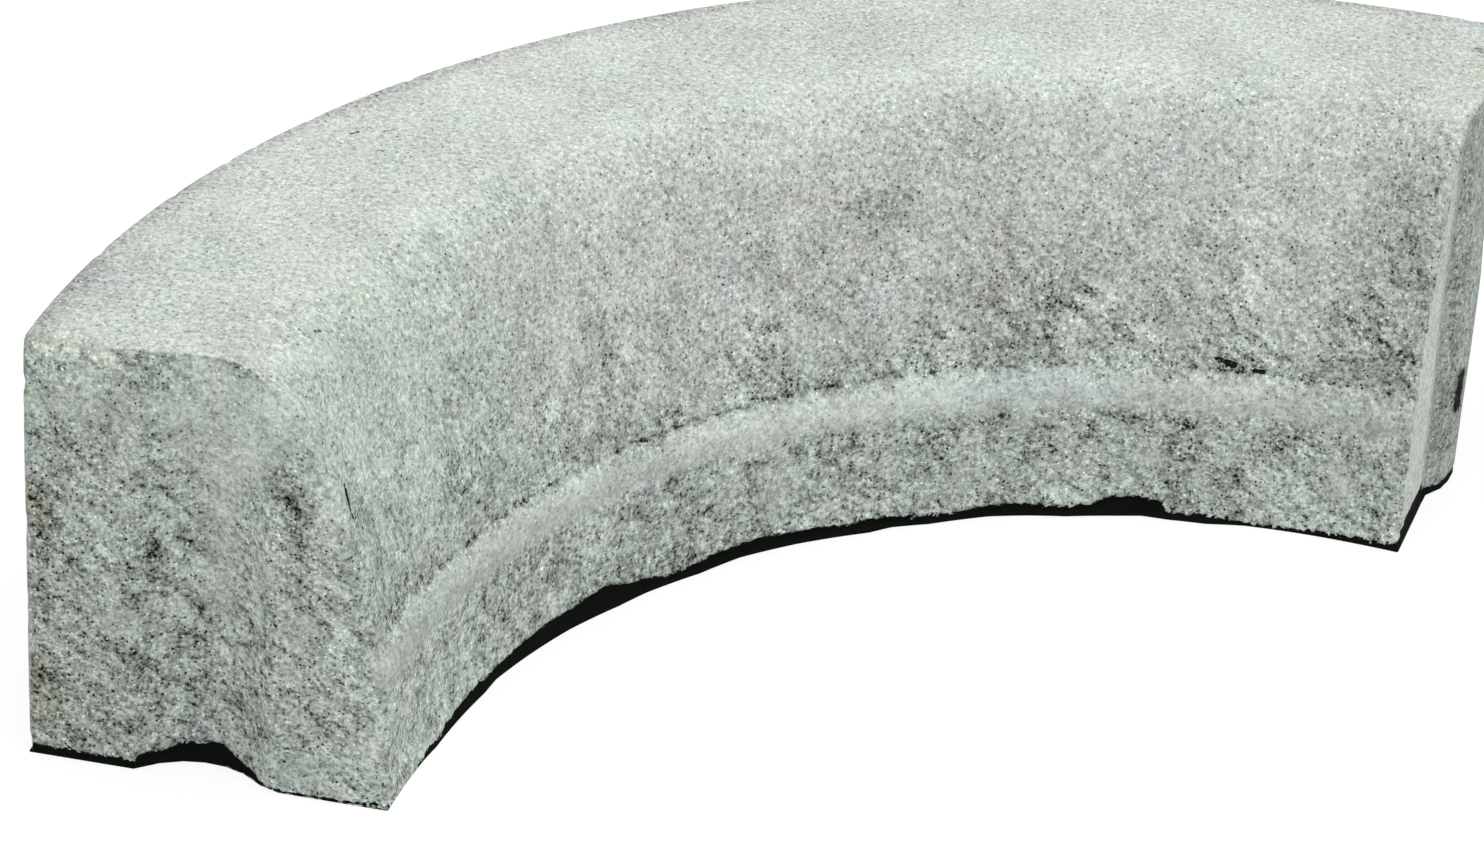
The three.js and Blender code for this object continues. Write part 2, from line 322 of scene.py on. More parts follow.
def plain_stone():
    """Vertices in mm, quads, triangles, and for each vertex its u, z and surface."""
    outline = section()
    normal, reach = outline_normals(outline)
    m = len(outline)
    z = outline[:, 1]

    near_arris, far_arris = end_arrises(outline)

    def inset(d):
        return outline + normal * (d / reach)[:, None]

    turns = np.linspace(0, math.pi / 2, END_STEPS + 1)[:-1]
    quarter = [(1 - math.cos(a), 1 - math.sin(a)) for a in turns]
    groove = key_depth(outline[:, 0], z, 0)
    tongue = key_depth(outline[:, 0], z, TONGUE_CLEARANCE)
    r = FOOT_RADIUS + outline[:, 0]
    first = math.pi - np.arcsin((groove + near_arris) / r)
    last = math.pi - SPAN - np.arcsin((tongue - far_arris) / r)
    rings = []
    for past, d in quarter:
        o = inset(near_arris * d)
        into = key_depth(o[:, 0], o[:, 1], 0) + near_arris * past
        rings.append(past_end(o[:, 0], o[:, 1], into, GROOVED))
    for t in np.linspace(0, 1, STATIONS + 1):
        a = first + (last - first) * t
        rings.append(np.c_[CENTRE[0] + r * np.cos(a), CENTRE[1] + r * np.sin(a), z])
    for past, d in reversed(quarter):
        o = inset(far_arris * d)
        out = key_depth(o[:, 0], o[:, 1], TONGUE_CLEARANCE) - far_arris * past
        rings.append(past_end(o[:, 0], o[:, 1], out, TONGUED))
    n = len(rings)
    i = np.arange(m)
    j = (i + 1) % m
    quads = np.concatenate([np.c_[s * m + i, s * m + j, (s + 1) * m + j, (s + 1) * m + i]
                            for s in range(n - 1)])

    near_grid, near_faces = cap(inset(near_arris))
    far_grid, far_faces = cap(inset(far_arris))
    nu, nz = near_grid.T
    fu, fz = far_grid.T
    verts = np.concatenate(rings + [
        past_end(nu, nz, key_depth(nu, nz, 0), GROOVED),
        past_end(fu, fz, key_depth(fu, fz, TONGUE_CLEARANCE), TONGUED),
    ])
    near = np.concatenate([i, n * m + np.arange(len(nu))])
    far = np.concatenate([(n - 1) * m + i, n * m + len(nu) + np.arange(len(fu))])
    triangles = np.concatenate([near[near_faces][:, ::-1], far[far_faces]])
    u = np.concatenate([np.tile(outline[:, 0], n), nu, fu])
    level = np.concatenate([np.tile(z, n), nz, fz])
    surface = np.repeat([SIDE, GROOVED, TONGUED], [n * m, len(nu), len(fu)])
    surface[:m] = GROOVED
    surface[(n - 1) * m:n * m] = TONGUED
    return verts, quads, triangles, u, level, surface


def vertex_normals(verts, quads, triangles):
    """Outward unit normals, weighted by the area of the faces."""
    tris = np.concatenate([quads[:, [0, 1, 2]], quads[:, [0, 2, 3]], triangles])
    face = np.cross(verts[tris[:, 1]] - verts[tris[:, 0]], verts[tris[:, 2]] - verts[tris[:, 0]])
    total = np.zeros_like(verts)
    for k in range(3):
        np.add.at(total, tris[:, k], face)
    return total / np.linalg.norm(total, axis=1)[:, None]


# ---- wear --------------------------------------------------------------------

SKIN = 0.12              # the least wear
BED_SKIN = 0.05          # wear of the bed
RECESS = 1.6             # how far the lower edge under the painted contact shadow is worn back
RECESS_START = 1.6       # how far below the lip the recess is full
RECESS_FADE = (-0.5, 4.0)    # heights over which it fades out towards the ground
LEAST_LIP = 0.2
LIP_RAGGED = 0.9         # how far the lip wanders up and down

# The lip is the upper edge of the black painted contact shadow along the ground, as
# heights. Along the foot, by degrees round the bend, with a step at 80 degrees:
FOOT_LIP = [(0, 0.3), (5.5, 0.5), (6.5, 1.8), (8, 3.8), (10, 3.5), (12, 4.8), (14, 6.2), (16, 7),
            (20, 6.4), (22, 9.2), (26, 11), (28, 10.8), (30, 12.4), (32, 13.2), (34, 9.8), (36, 8),
            (38, 5.2), (40, 5.8), (43, 7.2), (45, 7.9), (48, 8.1), (50, 7.6), (54, 5.6), (56, 7.4),
            (58, 6), (60, 4.9), (62, 4.4), (66, 6.2), (68, 7.6), (70, 5.9), (72, 5.2), (74, 7),
            (75.5, 11), (77.5, 10.8), (79.2, 9.4), (80, 3.9), (82, 4.9), (84, 4.4), (86, 2.2),
            (90, 2.1), (92, 3.4), (96, 3.4), (97.5, 4.4)]
# Across the grooved end, by u:
GROOVED_LIP = [(0, 1.5), (44, 1.7), (56, 2.8), (66, 6), (74, 10.8), (88, 10.2), (98, 6.9), (106, 7),
               (109, 4), (116, 4.8), (155, 5)]
# Across the tongued end, by u. It is higher on the flat before the tongue.
TONGUED_LIP = [(0, 5), (8, 11), (44, 12), (54, 4.5), (104, 3.5), (110, 3), (155, 3)]
BACK_LIP = 2.0
# How far the foot's lower edge lies behind its true line (minus: before it), by
# degrees.
FOOT_EDGE = [(0, -1.3), (4, -2.5), (7, -3.3), (9, -4.1), (12, -3.5), (17, -2.4), (19, -0.6), (28, -0.3),
             (33, -1.5), (36, -0.8), (41, -1.6), (45, 0.7), (50, -0.2), (56, -2.5), (58, -0.9), (61, -2.2),
             (66, -0.1), (69, -1), (72, -2.5), (76, -1.5), (78, -0.7), (80, -2.9), (83, -4.1), (86, -2.1),
             (97.5, -2.5)]
FOOT_EDGE_FADE = 16.0    # height at which the foot is back on its line
# How far the front edge of the tongued end stands out past its plane, by height.
# It fades out across the end (u) and back along the bend (degrees).
END_LEAN = [(0, 4.2), (12, 3.5), (60, 2.6), (100, 1.3), (150, 0.9), (200, 0.8)]
END_LEAN_ACROSS = (44, 80)
END_LEAN_ALONG = (SPAN_DEG - 6, SPAN_DEG)

# Larger marks: from and to (degrees, u, z), radius, darkening, yellowing. A minus
# sign makes a place paler or bluer. At the ends, degrees past 0 reach into the
# groove, and degrees past SPAN_DEG reach out to the tongue.
MARK_REACH = 1.5         # a mark fades out at this many times its radius
PALE_SMOOTHER = 1.4      # a pale mark is smoother by this many times what it is paler
MOST_SMOOTHER = 0.4
MARKS = [
    ((0, 46.5, 146), (0, 37, 135), 6.5, 0.50, 0.0),       # patch by the foot side of the groove
    ((0, 47, 163), (0, 48, 157), 5, 0.26, 0.0),
    ((0, 52, 174), (0.5, 86, 170), 15, -0.33, 0.0),       # pale upper corner by the shaped face
    ((0, 62, 158), (0, 78, 152), 13, -0.36, 0.0),
    ((0, 48, 184), (0.5, 84, 193), 8, -0.24, 0.0),
    ((0, 75, 124), (0, 55, 102), 6, -0.20, 0.0),
    ((1.2, 75, 144), (1.75, 76, 80), 7, -0.18, 0.0),
    ((0, 35, 84), (0, 36, 78), 5, -0.18, 0.0),
    ((0.9, 62, 152), (1.1, 74, 140), 8, -0.18, 0.0),
    ((0, 15, 74), (0, 14, 52), 6, 0.14, 0.0),
    ((0, 149, 88), (0, 149, 76), 6, 0.20, 0.4),
    ((0, 104, 172), (0, 145, 170), 8, -0.15, 0.0),
    ((0, 126, 182), (0, 126, 160), 6, -0.10, 0.0),
    ((0.32, 101, 184), (0.6, 88, 186), 10, 0.08, 0.0),
    ((0, 104, 74), (0, 118, 70), 6, -0.20, 0.0),
    ((0, 75, 42), (0, 76, 22), 6, -0.16, 0.0),
    ((0, 35, 12), (0, 48, 12), 6, -0.20, 0.0),
    ((0, 87, 160), (0, 97, 138), 9, 0.34, 0.0),           # dark stretch down the groove
    ((0, 98, 104), (0, 104, 90), 8, 0.20, 0.0),
    ((0, 112, 116), (0, 105, 142), 7, 0.16, 0.0),
    ((0, 142, 126), (0, 139, 74), 9, 0.17, 0.0),          # and down the back
    ((1.4, 66, 35), (1.4, 66, 26), 6, 0.26, 0.0),
    ((0, 98, 32), (0, 96, 28), 6, 0.16, 0.0),
    ((0, 55, 70), (0, 55, 62), 7, 0.14, 0.0),
    ((0, 112, 52), (0, 118, 52), 6, 0.16, 0.0),
    ((0, 140, 150), (0, 118, 120), 16, 0.06, 0.0),
    ((0, 100, 90), (0, 62, 112), 14, 0.08, 0.0),
    ((0.5, 146, 199), (0.2, 118, 196), 8, -0.04, 0.38),   # pale worn edge at the back
    ((0, 149, 124), (0, 147, 112), 7, 0.50, 0.9),         # brown edge
    ((0, 148, 42), (0, 148, 18), 8, 0.36, 0.95),
    ((14, 12, 103), (20, 9, 97), 11, 0.12, 0.0),          # grey cloud over the crease
    ((3.1, 19, 130), (3.8, 12, 108), 8, 0.30, 0.0),       # beside the grooved end
    ((3, 6, 84), (13, 6, 83), 6, 0.16, 0.0),
    ((33, 17, 124), (33, 9, 95), 11, 0.12, 0.0),
    ((48, 9, 95), (48, 9, 95), 9, 0.16, 0.0),
    ((88, 0, 44), (88, 0, 42), 7, 0.46, 0.0),
    ((73, 0, 44), (73, 0, 42), 6, 0.30, 0.0),
    ((38, 0, 54), (38, 0, 50), 6, 0.16, 0.0),
    ((48, 0, 40), (48, 0, 20), 8, -0.22, 0.0),            # paler stretches of the foot
    ((68, 0, 54), (68, 0, 50), 6, -0.26, 0.0),
    ((78, 0, 34), (78, 0, 28), 7, -0.16, 0.0),
    ((2.5, 54, 197), (6, 41, 185), 10, -0.16, 0.0),
    ((38, 34, 174), (38, 30, 160), 8, 0.10, 0.0),
    ((28, 13, 114), (28.5, 6, 82), 7, 0.20, 0.0),
    ((92.2, 9, 99), (93.2, 8, 93), 7, 0.10, 0.0),
    ((93, 0, 46), (94, 0, 40), 5, 0.18, 0.0),
    ((63, 9, 97), (64, 8, 92), 6, 0.14, 0.0),
    ((73, 9, 97), (73.6, 8, 92), 6, 0.14, 0.0),
    ((52.5, 0, 10), (54, 0, 16), 6, 0.20, 0.0),
    ((82.5, 0, 9), (83.5, 0, 14), 6, 0.20, 0.0),
    ((58, 0, 34), (57.5, 0, 24), 5, 0.14, 0.0),
    ((43, 0, 42), (43, 0, 30), 6, -0.16, 0.0),
    ((63, 0, 20), (63.4, 0, 25), 5, -0.18, 0.0),
    ((92.6, 0, 34), (93.5, 0, 20), 6, -0.18, 0.0),
    ((78, 27, 155), (78, 13, 112), 7, -0.12, 0.0),
    ((23, 19, 132), (22.6, 26, 152), 7, -0.10, 0.0),
    ((87.6, 20, 134), (88.4, 16, 122), 7, 0.16, 0.0),
    ((1.5, 44, 184), (4.5, 32, 165), 9, -0.10, 0.0),
    ((95.6, 44, 184), (95.8, 24, 150), 11, 0.12, 0.0),
    ((93, 19, 135), (93, 8, 88), 20, 0.14, 0.0),          # beside the tongued end
    ((21.2, 49.6, 193), (21.5, 49.6, 193), 6, 0.20, 0.0),
    ((32.1, 19.2, 134), (32.6, 19.2, 134), 7, 0.18, 0.0),
    ((55.1, 25.4, 152), (58.9, 26.5, 155), 7, 0.27, 0.0),
    ((67.3, 13.5, 114), (67.8, 13.4, 114), 5, 0.20, 0.0),
    ((62.0, 12.2, 110), (69.0, 8.4, 94), 15, 0.15, 0.0),
    ((94.6, 7.4, 90), (95.4, 6.7, 86), 8, 0.06, 0.36),    # brownish, by the tongued end
    ((93.7, 29, 161), (96.0, 12.3, 110), 14, 0.10, 0.0),
    ((83.1, 5.6, 80), (83.9, 5.4, 79), 3.5, 0.20, 0.0),   # chips on the crease
    ((84.5, 4.7, 77), (84.9, 4.7, 77), 2.5, 0.20, 0.0),
    ((2, 140, 200), (9, 100, 200), 40, 0.10, 0.0),        # the top is duller at its start
    ((64, 2, 68), (75, 2, 68), 9, 0.02, -0.7),            # bluish stretches of the shoulder
    ((91, 2, 66), (94, 2, 66), 7, -0.04, -0.6),
    ((97, 110, 200), (97, 74, 200), 7, 0.02, 0.35),       # yellow end of the top
    ((98.6, 62, 52), (98.7, 68, 24), 11, 0.03, 0.50),     # brownish foot of the tongue
    ((98.9, 71, 57), (98.9, 71, 43), 5.0, 1.60, 0.0),     # painted black contact shadow, on the tongue at its silhouette
    ((96.3, 119, 200), (96.3, 122, 200), 2.4, 0.60, 0.0), # and a small dark spot at the top
]

# Fine dark marks: from and to (degrees, u, z), half width, darkening.
STROKES = [
    ((1.95, 23.3, 146), (1.60, 20.0, 136), 0.80, 0.85),   # scratch on the face
    ((1.86, 22.5, 143.4), (1.75, 21.4, 140.2), 1.35, 0.95),
    ((1.60, 20.0, 136), (1.66, 18.3, 131), 0.70, 0.60),
    ((7.25, 50.0, 193.5), (7.62, 48.6, 192.5), 0.75, 0.75),
    ((6.30, 52.0, 194.8), (6.40, 52.0, 194.8), 0.75, 0.50),
    ((2.85, 94.0, 200), (3.01, 90.5, 200), 0.70, 0.40),
    ((27.0, 129.5, 200), (27.4, 128.5, 200), 0.90, 0.75),
    ((28.4, 121.5, 200), (29.0, 119.0, 200), 0.70, 0.50),
    ((0.0, 138.1, 198.0), (0.0, 138.1, 197.2), 0.80, 0.60),
    ((3.84, 23.6, 146.7), (3.84, 23.6, 146.2), 0.70, 0.40),
    ((3.81, 12.6, 111.4), (3.81, 12.6, 110.8), 1.00, 0.45),
    ((3.01, 7.0, 87.7), (3.01, 7.0, 87.2), 0.90, 0.40),
    ((4.24, 16.4, 125.5), (4.24, 16.0, 123.5), 0.80, 0.30),
    ((0.94, 38.4, 182.0), (0.94, 38.2, 181.0), 1.00, 0.22),
    ((9.20, 5.8, 81.4), (9.50, 5.5, 79.6), 1.10, 0.60),
    ((17.8, 10.9, 106), (17.8, 10.7, 103.5), 1.00, 0.45),
    ((96.5, 32.2, 169.5), (96.5, 31.2, 166.5), 0.90, 0.60),
    ((82.5, 5.9, 81.8), (83.9, 5.5, 79.8), 1.15, 0.92),   # chips on the crease
    ((83.3, 5.2, 79.0), (83.9, 5.2, 79.0), 0.90, 0.70),
    ((85.4, 5.1, 77.9), (86.1, 5.2, 77.9), 1.00, 0.90),
    ((95.96, 9, 97.4), (95.96, 9, 95.6), 0.80, 0.50),
    ((96.77, 3.3, 74.5), (96.77, 3.1, 73.5), 0.90, 0.60),
    ((85.26, 0, 56.2), (85.26, 0, 55), 1.20, 0.45),
    ((84.89, 0, 24.5), (84.89, 0, 23), 1.40, 0.50),
    ((96.01, 0, 48.5), (96.01, 0, 47.5), 1.20, 0.40),
]

# The thin dark line along the top edge of the grooved end, as (degrees, u, z).
TOP_EDGE_LINE = [(0.42, 61, 197.4), (0.56, 67, 198.9), (0.74, 74, 199.2), (0.74, 88, 199.2),
                 (0.52, 98, 199.2), (0.22, 108, 199.2), (0.10, 119, 199.0)]
TOP_EDGE_HALF_WIDTH = 1.1
TOP_EDGE_DARK = 0.10

# Chips and blowholes, placed one by one: from and to (degrees, u, z), radius, depth.
DENTS = [
    ((82.8, 5.8, 81.2), (84.2, 5.4, 79.6), 4.0, 1.4),
    ((85.3, 5.1, 77.9), (85.9, 5.1, 77.9), 3.0, 0.9),
    ((84.9, 0, 23.6), (84.9, 0, 23.6), 3.0, 1.2),
    ((84.3, 0, 43.9), (84.3, 0, 43.9), 3.0, 1.2),
    ((0, 42, 141), (0, 37, 135), 6.0, 0.9),
    ((0, 33, 131), (0, 33, 131), 4.0, 0.6),
    ((0, 151, 198), (0, 116, 199), 7.0, 1.9),
    ((0, 155, 110), (0, 155, 110), 5.0, 1.2),
    ((96.5, 32, 168), (96.5, 32, 168), 3.0, 1.0),
    ((97.5, 0, 3), (97.5, 0, 3), 5.0, 1.6),
    ((0, 0, 0), (0, 0, 1), 12.0, 3.4),
    ((79.9, 0, 8), (79.9, 0, 8), 5.0, 1.2),
]


def fractal(points, size, seed, octaves=2):
    """Smooth noise, about -1 to 1, with features of `size` mm."""
    shift = Vector((seed * 17.3, seed * 5.1, seed * 29.7))
    return np.array([noise.fractal(Vector(p) / size + shift, 0.9, 2.1, octaves) for p in points])


def falloff(points, a, b, radius):
    """1 on the line from a to b, and 0 from `radius` away."""
    ab = b - a
    t = np.clip(((points - a) @ ab) / max(ab @ ab, 1e-9), 0, 1)
    d = np.linalg.norm(points - a - t[:, None] * ab, axis=1)
    return np.clip(1 - (d / radius) ** 2, 0, 1) ** 2


def smooth(low, high, x):
    """0 below `low`, 1 above `high`, and an even curve between."""
    t = np.clip((x - low) / (high - low), 0, 1)
    return t * t * (3 - 2 * t)


def fade(low, high, x):
    """1 below `low`, 0 above `high`, and an even curve between."""
    return 1 - smooth(low, high, x)


def lip_height(deg, u, surface, verts):
    """Height of the upper edge of the painted contact shadow at each vertex, and so of the worn lower
    edge.
    """
    ragged = fractal(verts * (1, 1, 0.2), 7.0, seed=3) * LIP_RAGGED
    foot = np.interp(deg, *zip(*FOOT_LIP))
    near = np.interp(u, *zip(*GROOVED_LIP))
    far = np.interp(u, *zip(*TONGUED_LIP))
    side = np.where(u > BASE_WIDTH / 2, BACK_LIP, foot)
    h = np.select([surface == GROOVED, surface == TONGUED], [near, far], side)
    return np.clip(h + ragged * np.clip(h / 5, 0, 1), LEAST_LIP, None)


def scatter(verts, where, count, radius, depth, rng):
    """Inward dents of random size at random vertices of `where`."""
    dent = np.zeros(len(verts))
    for spot in rng.choice(np.flatnonzero(where), count, replace=False):
        size = rng.uniform(*radius)
        near = np.flatnonzero(np.abs(verts - verts[spot]).max(1) < size)
        shape = falloff(verts[near], verts[spot], verts[spot], size)
        dent[near] = np.maximum(dent[near], shape * rng.uniform(*depth))
    return dent


def roughness(verts, u, z, surface):
    """From about 0.25 on the smooth top to 1 on the rough ends and foot."""
    rough = np.interp(z, [0, 54, 60, 70, 77, 105, 140, 170, 190, 200],
                      [1, 1, 0.45, 0.45, 0.95, 0.88, 0.68, 0.5, 0.34, 0.25])
    on_face = (z > CREASE_HEIGHT + 2) & (z < 185)
    patchy = np.where(on_face, 0.22, 0.06) * fractal(verts, 26.0, seed=12)
    side = np.where(u > BASE_WIDTH - 1, 0.8, np.clip(rough + patchy, 0.15, 1))
    return np.where(surface == SIDE, side, 1.0)


def wear(verts, normals, deg, u, z, surface, rough, lip):
    """How far each vertex is worn inwards, along its normal."""
    rng = np.random.default_rng(WEAR_SEED)
    side = surface == SIDE
    back = side & (u > BASE_WIDTH - 1)
    front = side & (u < BASE_WIDTH - 1) & (z > 1)
    foot_top = (np.abs(z - FOOT_HEIGHT) < 4) & (u < 2)
    back_top = (z > HEIGHT - 3) & (u > BASE_WIDTH - 3)
    rim = side & (z > 0.5) & ((deg < 0.7) | (deg > SPAN_DEG - 0.7))

    # broad waves, lumps, and hollows between coarse grains
    d = SKIN + 0.20 * (1 + fractal(verts, 55.0, seed=1)) / 2
    d += 0.10 * rough * (1 + fractal(verts, 14.0, seed=2))
    d += 0.16 * rough * np.clip(fractal(verts, 6.0, seed=5), 0, 1)
    # dents: where, how many, least and most radius, least and most depth
    for where, count, radius, depth in [
        (front & (z < 100), 150, (2.4, 4.0), (0.3, 0.9)),
        (front & (z >= 100), 40, (2.4, 3.4), (0.2, 0.5)),
        (~side, 90, (2.6, 4.6), (0.3, 0.9)),
        (back, 60, (4.6, 7.0), (0.3, 0.8)),
        (side & (foot_top | back_top), 70, (2.5, 6.0), (0.3, 0.9)),
        (rim, 60, (2.5, 6.0), (0.3, 1.0)),
    ]:
        d += scatter(verts, where, count, radius, depth, rng)
    for start, end, radius, depth in DENTS:
        d += falloff(verts, on_bend(*start), on_bend(*end), radius) * depth

    # worn back under the lip, less where the lip is low, and out again at the ground
    upright = np.abs(normals[:, 2]) < 0.5
    worn = RECESS * smooth(0, RECESS_START, lip - z) * smooth(*RECESS_FADE, z)
    d += np.where(upright, worn * np.clip(lip / 6, 0.15, 1), 0)
    return np.where(normals[:, 2] < -0.5, BED_SKIN, d)


def out_of_line(deg, u, z, surface):
    """How far each vertex is shifted in plan.

    Along the foot's lower edge that is away from the middle of the bend, and
    along the front edge of the tongued end it is out of that end.
    """
    on_foot = (surface == SIDE) & (u < 10)
    edge = np.interp(deg, *zip(*FOOT_EDGE)) * np.interp(z, [0, FOOT_EDGE_FADE], [1, 0])
    lean = np.interp(z, *zip(*END_LEAN))
    lean = lean * smooth(*END_LEAN_ALONG, deg) * fade(*END_LEAN_ACROSS, u)
    return np.where(on_foot, edge, 0), lean


def shading(verts, deg, u, z, surface, rough):
    """How much darker each vertex is than the rest, before the marks: tone at random, painted shade and
    painted light.
    """
    side = surface == SIDE
    grooved = surface == GROOVED
    tongued = surface == TONGUED
    shade = 0.05 * fractal(verts, 45.0, seed=8, octaves=3) + 0.03 * rough
    # painted shade on the nose and on the band over the crease; the back edge of the top is darker too
    shade += side * 0.07 * smooth(176, 186, z) * fade(192, 199, z)
    shade += side * 0.10 * smooth(74, 78, z) * fade(80, 96, z)
    shade += side * 0.20 * smooth(192, 199, z) * smooth(140, 150, u)
    # the foot is paler where it starts; the shoulder, which faces upwards, gets painted light nearly all
    # along
    shade -= side * fade(55, 60, z) * np.interp(deg, [12, 25], [0.16, 0])
    shoulder_light = np.interp(deg, [0, 10, 35, 45, 65, 80, 97],
                              [0.10, 0.06, 0.09, 0.26, 0.30, 0.16, 0.04])
    shade -= on_shoulder(u, z, surface) * shoulder_light
    # the grooved end: painted light at the top and along the shaped face, painted shade low down
    shade -= grooved * 0.20 * smooth(170, 186, z)
    shade -= grooved * 0.07 * fade(60, 90, u) * fade(120, 150, z)
    shade += grooved * 0.12 * fade(40, 110, z) * smooth(30, 60, u)
    from_face = u - np.interp(z, [CREASE_HEIGHT, 176], [SHOULDER_RUN, 35])
    shade -= grooved * 0.16 * fade(4, 34, from_face) * fade(150, 190, z)
    # the tongued end: painted light on the flat before the tongue, and painted shade in the corner at the
    # tongue's root and on its side; the whole end is a little darker too
    shade -= tongued * 0.54 * fade(38, 48, u) * smooth(2, 10, z) * fade(166, 184, z)
    shade += tongued * (0.05 + 0.16 * smooth(46, 53, u) * fade(60, 70, u))
    return shade


def on_shoulder(u, z, surface):
    """1 on the shoulder, above the foot and below the crease."""
    return (surface == SIDE) * smooth(54, 60, z) * fade(66, 78, z) * (u < 20)


def looks(verts, deg, u, z, surface, rough):
    """The attributes that the material reads, by name."""
    side = surface == SIDE
    grooved = surface == GROOVED
    tongued = surface == TONGUED
    shade = shading(verts, deg, u, z, surface, rough)
    warm = np.clip(fractal(verts, 60.0, seed=9), 0, 1) * 0.15
    cool = np.zeros(len(verts))
    blotchy = 1 + 0.5 * fractal(verts, 5.0, seed=10)
    for start, end, radius, dark, yellow in MARKS:
        spot = falloff(verts, on_bend(*start), on_bend(*end), radius * MARK_REACH)
        smoother = min(max(-dark * PALE_SMOOTHER, 0), MOST_SMOOTHER)
        rough = rough * (1 - spot * smoother)
        shade += spot * dark * (blotchy if dark > 0 else 1)
        warm += spot * max(yellow, 0)
        cool += spot * max(-yellow, 0)
    # the tongued end is calmer, and the flat before the tongue smoother and so paler, which adds to its
    # painted light
    rough = np.where(tongued, 0.66 - 0.16 * fade(38, 48, u), rough)

    # distance from the crease, with some added where it is faint
    faint = np.interp(deg, [8, 12, 50, 70], [1.2, 0, 0, 0.8])
    crease = np.hypot(u - SHOULDER_RUN, z - CREASE_HEIGHT) + faint
    start_of_face = side * fade(12, 36, deg) * smooth(78, 110, z) * fade(192, 199, z)
    neutral = 0.45 * smooth(82, 110, z) * fade(170, 192, z) * smooth(12, 32, deg)
    neutral += 0.5 * smooth(120, 140, u) * smooth(190, 198, z)
    fine = np.interp(rough, [0.2, 0.3, 0.4, 0.6, 0.88, 1], [0.70, 0.85, 0.98, 1.06, 1.18, 1.60])
    calmer = (0.15 + 0.15 * fade(25, 40, deg)) * on_shoulder(u, z, surface)
    return {
        "rough": rough,
        "fine": fine * (1 - calmer),
        "coarse": np.interp(rough, [0.2, 0.4, 0.6, 0.88, 1], [0.08, 0.24, 0.42, 0.80, 1.28]),
        "shade": shade,
        "warm": warm,
        "neutral": side * neutral - 0.35 * start_of_face,
        "mint": 0.28 * start_of_face + 0.30 * grooved * smooth(140, 180, z),
        "cool": cool,
        "crease": np.where(side, crease, FAR_FROM_CREASE),
    }


def worn_stone():
    """Vertices in mm, quads, triangles, attributes, and the vertices without the wear."""
    verts, quads, triangles, u, z, surface = plain_stone()
    normals = vertex_normals(verts, quads, triangles)
    flat = verts[:, :2] - CENTRE
    deg = 180 - np.degrees(np.arctan2(flat[:, 1], flat[:, 0]))
    deg = np.where(deg > 180, 0, deg)        # a hair before the start of the bend
    rough = roughness(verts, u, z, surface)
    lip = lip_height(deg, u, surface, verts)

    moved = verts - normals * wear(verts, normals, deg, u, z, surface, rough, lip)[:, None]
    edge, lean = out_of_line(deg, u, z, surface)
    outward = flat / np.linalg.norm(flat, axis=1)[:, None]
    moved[:, :2] += outward * edge[:, None]
    slide = lean[:, None] * np.array([math.sin(SPAN), math.cos(SPAN), 0])
    attributes = looks(verts, deg, u, z, surface, rough)
    attributes["below_lip"] = lip - z
    return moved + slide, quads, triangles, attributes, verts + slide


verts, quads, triangles, attributes, plain = worn_stone()
mesh = bpy.data.meshes.new("kerb_stone_cast")
mesh.from_pydata((verts * MM).tolist(), [], quads.tolist() + triangles.tolist())
mesh.validate()
mesh.shade_smooth()
for name, values in attributes.items():
    layer = mesh.attributes.new(name, "FLOAT", "POINT")
    layer.data.foreach_set("value", np.asarray(values, np.float32))
layer = mesh.attributes.new("plain", "FLOAT_VECTOR", "POINT")
layer.data.foreach_set("vector", np.asarray(plain * MM, np.float32).ravel())
stone = bpy.data.objects.new("kerb_stone_cast", mesh)
bpy.context.scene.collection.objects.link(stone)
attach(stone, "root")
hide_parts("kerb_stone")


# ---- materials ---------------------------------------------------------------

